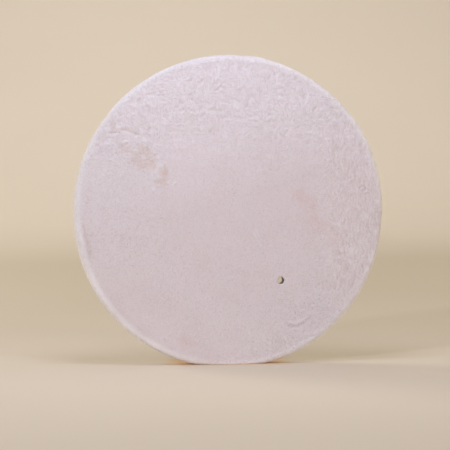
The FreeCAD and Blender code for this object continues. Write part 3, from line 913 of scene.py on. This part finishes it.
def felt_material():
    """White wool felt: matted strands, stained and worn on the face, with painted light and shade over the
    face and rim, painted shade in the gaps and painted highlights on the tips.
    """
    n = Nodes("white_wool_felt")
    loft, wear_and_crease_shade, locks = n.attribute("loft"), n.attribute("wear_and_crease_shade"), n.attribute("locks")
    stain, tuft = n.attribute("stain"), n.attribute("tuft")
    face, relief = n.attribute("face"), n.attribute("relief")

    # Strands of wool: long upright ones, level ones and a mat of short ones, all curled together.
    curled = n.push(120.0, 0.0075)
    upright = n.ramp(n.noise(880.0, 2.0, 0.5, 0.0, n.stretch((1.0, 0.5, 0.20), curled)), 0.36, 0.64)
    level = n.ramp(n.noise(880.0, 2.0, 0.5, 0.0, n.stretch((0.26, 0.5, 1.0), curled)), 0.36, 0.64)
    short = n.ridge(n.noise(760.0, 3.0, 0.6, 0.5, n.push(500.0, 0.0016)), 5.0)
    lie = n.ramp(n.noise(75.0, 2.0, 0.5), 0.44, 0.56)
    lie = n.math("MAXIMUM", lie, locks)
    strands = n.blend(lie, level, upright)
    mat = n.blend(n.attribute("strands"), short, strands)
    hairs = n.ridge(n.noise(2100.0, 2.0, 0.6, 0.4, n.push(1300.0, 0.0006)), 5.0)
    mat = n.blend(0.25, mat, hairs)

    # Painted light: the face is painted lighter towards the top and the upper left, for the overhead lamp,
    # and lighter and warmer at the foot, for the floor's bounce. The rim gets painted light at the lower
    # right and painted shade at the upper left.
    x, _, z = n.axes()
    height = n.math("SUBTRACT", z, n.math("MULTIPLY", x, 0.3))
    # Painted light: lighter towards the top and the upper left, and lighter and warmer at the foot.
    used = n.mix(n.ramp(height, 8.0 * MM, 96.0 * MM), FACE_MIDDLE_TONE, TOP_OF_FACE_PAINTED_LIGHT)
    used = n.mix(n.ramp(z, -62.0 * MM, -100.0 * MM), used, FOOT_OF_FACE_PAINTED_BOUNCE)
    lean = n.math("SUBTRACT", z, n.math("MULTIPLY", x, 0.9))
    # The rim and a strip of the face at its edge are lighter than the face: partly cleaner wool, partly
    # painted light for the rounded edge that catches the lamps. The upper left is painted darker (painted
    # shade). The lower right, which turns away from the lamps, is painted lighter (painted light).
    rim_wool_and_painted_light = n.mix(n.ramp(lean, 60.0 * MM, 140.0 * MM), RIM_WOOL, UPPER_LEFT_RIM_PAINTED_SHADE)
    rim_wool_and_painted_light = n.mix(n.ramp(lean, -80.0 * MM, -125.0 * MM), rim_wool_and_painted_light, LOWER_RIGHT_RIM_PAINTED_LIGHT)
    off_face = n.math("SUBTRACT", 1.0, face)
    rim = n.math("MAXIMUM", off_face, n.ramp(n.radius(), 96.8 * MM, 99.6 * MM))
    colour = n.mix(rim, used, rim_wool_and_painted_light)
    colour = n.tint(colour, n.ramp(n.noise(26.0, 4.0, 0.6), 0.35, 0.65), 0.30, CLOUDED)
    colour = n.tint(colour, stain, 0.70, STAINED)
    # Rubbed wear in the worn patches, and painted shade along the folds and in the side crease.
    colour = n.tint(colour, wear_and_crease_shade, 0.70, RUBBED_AND_CREASE_SHADE)
    colour = n.tint(colour, tuft, 0.6, TUFTED)
    # Painted shade: darker where the relief is low, in the furrows and hollows.
    colour = n.tint(colour, n.ramp(relief, 0.1, -0.8), 0.46, FURROW_PAINTED_SHADE)
    # Painted shade in the gaps between the strands and painted highlights on their tips, stronger where
    # the wool is lofty.
    gap_shade_colour = n.tint(colour, loft, 0.46, PAINTED_SHADE_IN_GAPS)
    tip_highlight_colour = n.tint(colour, loft, 0.66, PAINTED_HIGHLIGHT_ON_TIPS)
    n.set("Base Color", n.mix(mat, gap_shade_colour, tip_highlight_colour))

    n.set("Roughness", 1.0)
    n.set("Specular IOR Level", 0.08)
    n.set("Sheen Weight", 0.35)
    n.set("Sheen Roughness", 0.5)
    n.set("Sheen Tint", (1.0, 0.97, 1.0))
    n.set("Normal", n.bump(n.math("MULTIPLY", mat, loft), 0.00038, 1.0))
    return n.material


def fibre_material():
    """Loose wool fibres, a little lighter or darker from place to place."""
    n = Nodes("loose_wool")
    tone = n.noise(300.0, 2.0, 0.5)
    n.set("Base Color", n.mix(tone, (0.800, 0.740, 0.770), (0.900, 0.870, 0.900)))
    n.set("Roughness", 0.9)
    n.set("Specular IOR Level", 0.15)
    n.set("Sheen Weight", 0.3)
    return n.material


def board_material():
    """Brown hardboard: pressed fibres all through, the wire screen's print on its back, and glue there."""
    n = Nodes("brown_hardboard")
    radius = n.radius()
    x, y, z = n.axes()
    flecks = n.noise(900.0, 5.0, 0.7, 0.8, n.stretch((1.0, 0.6, 0.35)))
    shade = n.noise(40.0, 4.0, 0.6)
    chips = n.ridge(n.noise(420.0, 3.0, 0.6, 1.2), 6.0)
    colour = n.mix(n.ramp(flecks, 0.35, 0.7), (0.105, 0.052, 0.030), (0.225, 0.125, 0.070))
    colour = n.tint(colour, n.ramp(shade, 0.4, 0.7), 0.4, (0.140, 0.078, 0.046))
    colour = n.tint(colour, chips, 0.25, (0.300, 0.190, 0.110))

    pitch = 2 * math.pi / SCREEN_PITCH
    warp = n.math("SINE", n.math("MULTIPLY", x, pitch))
    weft = n.math("SINE", n.math("MULTIPLY", z, pitch))
    screen = n.math("MULTIPLY", n.math("MULTIPLY", warp, weft), 0.5)
    at_back = n.ramp(y, CORE_BACK - 0.6 * MM, CORE_BACK - 0.2 * MM)
    screen = n.math("MULTIPLY", screen, at_back)
    colour = n.tint(colour, n.ramp(screen, 0.0, -0.5), 0.5, (0.075, 0.040, 0.024))

    edge = n.math("ADD", radius, n.math("MULTIPLY", n.noise(220.0, 3.0, 0.6), 0.006))
    glue = n.math("MULTIPLY", n.ramp(edge, HEM_RADIUS - 0.6 * MM, HEM_RADIUS + 1.4 * MM), at_back)
    n.set("Base Color", n.tint(colour, glue, 0.8, (0.260, 0.150, 0.050)))
    n.set("Roughness", n.blend(glue, n.ramp(flecks, -0.6, 1.2), 0.30))
    height = n.math("ADD", n.math("MULTIPLY", flecks, 0.5), screen)
    n.set("Normal", n.bump(height, 0.00030, 0.8))
    return n.material


def cast_material():
    """Cast aluminium: grainy as cast on the flange, and turned bright on the boss and its end."""
    n = Nodes("cast_aluminium")
    radius = n.radius()
    turned = n.ramp(radius, BOSS_RADIUS + 1.6 * MM, BOSS_RADIUS + 0.6 * MM)
    grain = n.noise(1500.0, 4.0, 0.65)
    cloud = n.noise(90.0, 5.0, 0.65)
    stain = n.ramp(n.noise(35.0, 5.0, 0.7, 0.6), 0.52, 0.68)
    rings = n.math("SINE", n.math("MULTIPLY", radius, 2 * math.pi / TURNING_PITCH))
    lines = n.math("SINE", n.math("MULTIPLY", n.axes()[1], 2 * math.pi / TURNING_PITCH))
    grooves = n.math("ADD", rings, lines)
    as_cast = n.mix(n.ramp(cloud, 0.35, 0.65), (0.47, 0.47, 0.46), (0.62, 0.62, 0.61))
    bright = n.mix(n.ramp(cloud, 0.35, 0.65), (0.70, 0.70, 0.69), (0.80, 0.80, 0.79))
    n.set("Base Color", n.tint(n.mix(turned, as_cast, bright), stain, 0.35, (0.36, 0.34, 0.31)))
    n.set("Metallic", 1.0)
    rough = n.blend(turned, 0.58, 0.30)
    n.set("Roughness", n.math("ADD", rough, n.math("MULTIPLY", n.ramp(grain, 0.2, 0.8), 0.14)))
    sand = n.math("MULTIPLY", grain, n.math("SUBTRACT", 1.0, turned))
    cut = n.math("MULTIPLY", n.math("MULTIPLY", grooves, 0.06), turned)
    n.set("Normal", n.bump(n.math("ADD", sand, cut), 0.00028, 0.8))
    return n.material


def plated_material(name, light, dark, rough, tint):
    """A plated or blackened steel part: cloudy plating, fine scratches and handling marks."""
    n = Nodes(name)
    cloud = n.noise(260.0, 5.0, 0.65)
    speck = n.noise(2600.0, 3.0, 0.6)
    scratch = n.ridge(n.noise(700.0, 2.0, 0.5, 0.4, n.stretch((1.0, 0.25, 0.12))), 12.0)
    colour = n.mix(n.ramp(cloud, 0.35, 0.65), dark, light)
    handled = n.ramp(n.noise(90.0, 3.0, 0.6), 0.5, 0.7)
    n.set("Base Color", n.tint(colour, handled, 0.35, tint))
    n.set("Metallic", 1.0)
    wear = n.math("MULTIPLY", scratch, 0.10)
    n.set("Roughness", n.math("ADD", n.math("ADD", rough, wear), n.math("MULTIPLY", cloud, 0.12)))
    height = n.math("ADD", n.math("MULTIPLY", speck, 0.5), n.math("MULTIPLY", scratch, -0.5))
    n.set("Normal", n.bump(height, 0.00005, 0.6))
    return n.material


def dress(node, material):
    node.data.materials.clear()
    node.data.materials.append(material)


# ---------------------------------------------------------------- the studio

CAMERA_TURN = 10.0  # degrees: the camera stands to the left of the wheel's own axis
CAMERA_RISE = 3.0  # degrees: and this much above the level of AIM
CAMERA_DISTANCE = 1.677
FIELD = 10.0  # degrees
SENSOR = 36.0  # millimetres
AIM = Vector((-2.7 * MM, (FACE + HEM_BACK) / 2, -8.65 * MM))

COOL = (0.96, 1.00, 1.17)
COOLER = (0.95, 0.98, 1.24)
PALE = (0.985, 0.99, 1.07)
PLAIN = (1.0, 1.0, 1.0)
MILD = (1.0, 0.96, 0.86)
WARM = (1.0, 0.93, 0.78)
WARMER = (1.0, 0.93, 0.72)
AMBIENT = 0.34

# name, azimuth and elevation in degrees, distance and size in metres, power in watts, colour, aim
LIGHTS = [
    ("close_overhead", -5, 70, 0.4, 0.2, 0.52, COOLER, None),
    ("front_left", -32, 20, 2.2, 0.2, 11.2, COOL, None),
    ("front_right", 42, 24, 2.2, 0.2, 3.2, COOL, None),
    ("beside_camera", 0, 6, 2.2, 0.8, 8.6, COOL, None),
    ("left", -90, 10, 1.8, 0.8, 2.3, PLAIN, None),
    ("left_behind", -120, 20, 1.8, 0.8, 11.5, MILD, None),
    ("right_behind", 105, 7, 1.8, 0.8, 9.1, WARMER, None),
    ("above_floor", 180, 60, 1.9, 1.5, 4.3, WARM, (0.0, 0.8, -0.1)),
    ("wall", 180, 45, 1.9, 1.2, 12.8, PALE, (0.0, 3.2, 0.9)),
    ("wall_right", 150, 40, 1.9, 1.2, 3.2, PALE, (0.5, 3.2, 0.6)),
]


def paper_material():
    """Cream paper, tinted right under the wheel for the warm light in the crevices beside its foot."""
    n = Nodes("cream_paper")
    tone = n.noise(3.0, 3.0, 0.5)
    x, y, _ = n.axes()
    across = n.ramp(n.math("ABSOLUTE", x), 43.0 * MM, 30.0 * MM)
    along = n.ramp(n.math("ABSOLUTE", n.math("SUBTRACT", y, AIM.y + 10.0 * MM)), 30.0 * MM, 12.0 * MM)
    under = n.math("MULTIPLY", across, along)
    colour = n.mix(tone, (0.690, 0.600, 0.485), (0.720, 0.630, 0.520))
    n.set("Base Color", n.tint(colour, under, 0.50, (0.740, 0.390, 0.110)))
    n.set("Roughness", 0.85)
    n.set("Specular IOR Level", 0.2)
    return n.material


def make_sweep():
    """A pale seamless sheet: floor, one round bend and a wall far behind the wheel."""
    front, back, bend, top, half_width = -3.0, 3.4, 2.05, 3.6, 4.5
    bend_steps = 48
    profile = [(front, 0.0), (back - bend, 0.0)]
    for step in range(1, bend_steps + 1):
        angle = math.radians(90 * step / bend_steps)
        profile.append((back - bend + bend * math.sin(angle), bend - bend * math.cos(angle)))
    profile.append((back, top))
    points = [(side * half_width, y, FLOOR + z) for y, z in profile for side in (-1, 1)]
    faces = [(2 * k, 2 * k + 1, 2 * k + 3, 2 * k + 2) for k in range(len(profile) - 1)]
    sweep = add_object("sweep", smooth_mesh("sweep", points, faces))
    sweep.data.materials.append(paper_material())


def direction(turn, rise):
    """The way that leads turn degrees to the right of the wheel's front and rise degrees up."""
    turn, rise = math.radians(turn), math.radians(rise)
    return Vector((math.sin(turn) * math.cos(rise), -math.cos(turn) * math.cos(rise), math.sin(rise)))


def look_along(thing, away):
    """Turns a light or the camera so that it looks against the direction away."""
    thing.rotation_mode = "QUATERNION"
    thing.rotation_quaternion = away.to_track_quat("Z", "Y")


def make_light(name, azimuth, elevation, distance, size, power, colour, aim):
    """A soft box that shines on the wheel, or on aim where that is given.

    Azimuth 0 is where the camera stands, and positive is to its right.
    """
    lamp = bpy.data.lights.new(name, "AREA")
    lamp.shape = "DISK"
    lamp.size = size
    lamp.energy = power
    lamp.color = colour
    light = add_object(name, lamp)
    away = direction(azimuth - CAMERA_TURN, elevation)
    light.location = AIM + away * distance
    if aim is not None:
        away = light.location - Vector(aim)
    look_along(light, away)
    light.visible_camera = False


def make_camera():
    data = bpy.data.cameras.new("camera")
    data.sensor_width = SENSOR
    data.lens = SENSOR / 2 / math.tan(math.radians(FIELD / 2))
    data.clip_end = 50.0
    camera = add_object("camera", data)
    away = direction(-CAMERA_TURN, CAMERA_RISE)
    camera.location = AIM + away * CAMERA_DISTANCE
    look_along(camera, away)
    bpy.context.scene.camera = camera


def make_world():
    world = bpy.data.worlds.new("studio")
    bpy.context.scene.world = world
    world.use_nodes = True
    background = world.node_tree.nodes["Background"]
    background.inputs["Color"].default_value = (*WARM, 1.0)
    background.inputs["Strength"].default_value = AMBIENT


# ---------------------------------------------------------------- putting it together

make_camera()
make_world()
make_sweep()
for light in LIGHTS:
    make_light(*light)

felt = make_felt()
felt.data.materials.append(felt_material())
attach(felt, "root")
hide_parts("felt_cover")
fibres = make_fibres(felt)
wool = fibre_material()
for piece in fibres:
    piece.data.materials.append(wool)
    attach(piece, "root")

nodes = frame["nodes"]
dress(nodes["core_disc"], board_material())
dress(nodes["hub_flange"], cast_material())
zinc = plated_material("zinc_plate", (0.70, 0.71, 0.73), (0.55, 0.57, 0.60), 0.26, (0.66, 0.62, 0.52))
spring = plated_material("spring_steel", (0.40, 0.40, 0.42), (0.28, 0.28, 0.30), 0.32, (0.30, 0.24, 0.20))
black = plated_material("black_oxide", (0.06, 0.06, 0.065), (0.03, 0.03, 0.033), 0.36, (0.10, 0.07, 0.05))
for name, node in nodes.items():
    if name.startswith(("screw", "nut")):
        dress(node, zinc)
    elif name.startswith("lock_washer"):
        dress(node, spring)
    elif name.startswith("set_screw"):
        dress(node, black)

bpy.context.scene.view_settings.view_transform = "Standard"
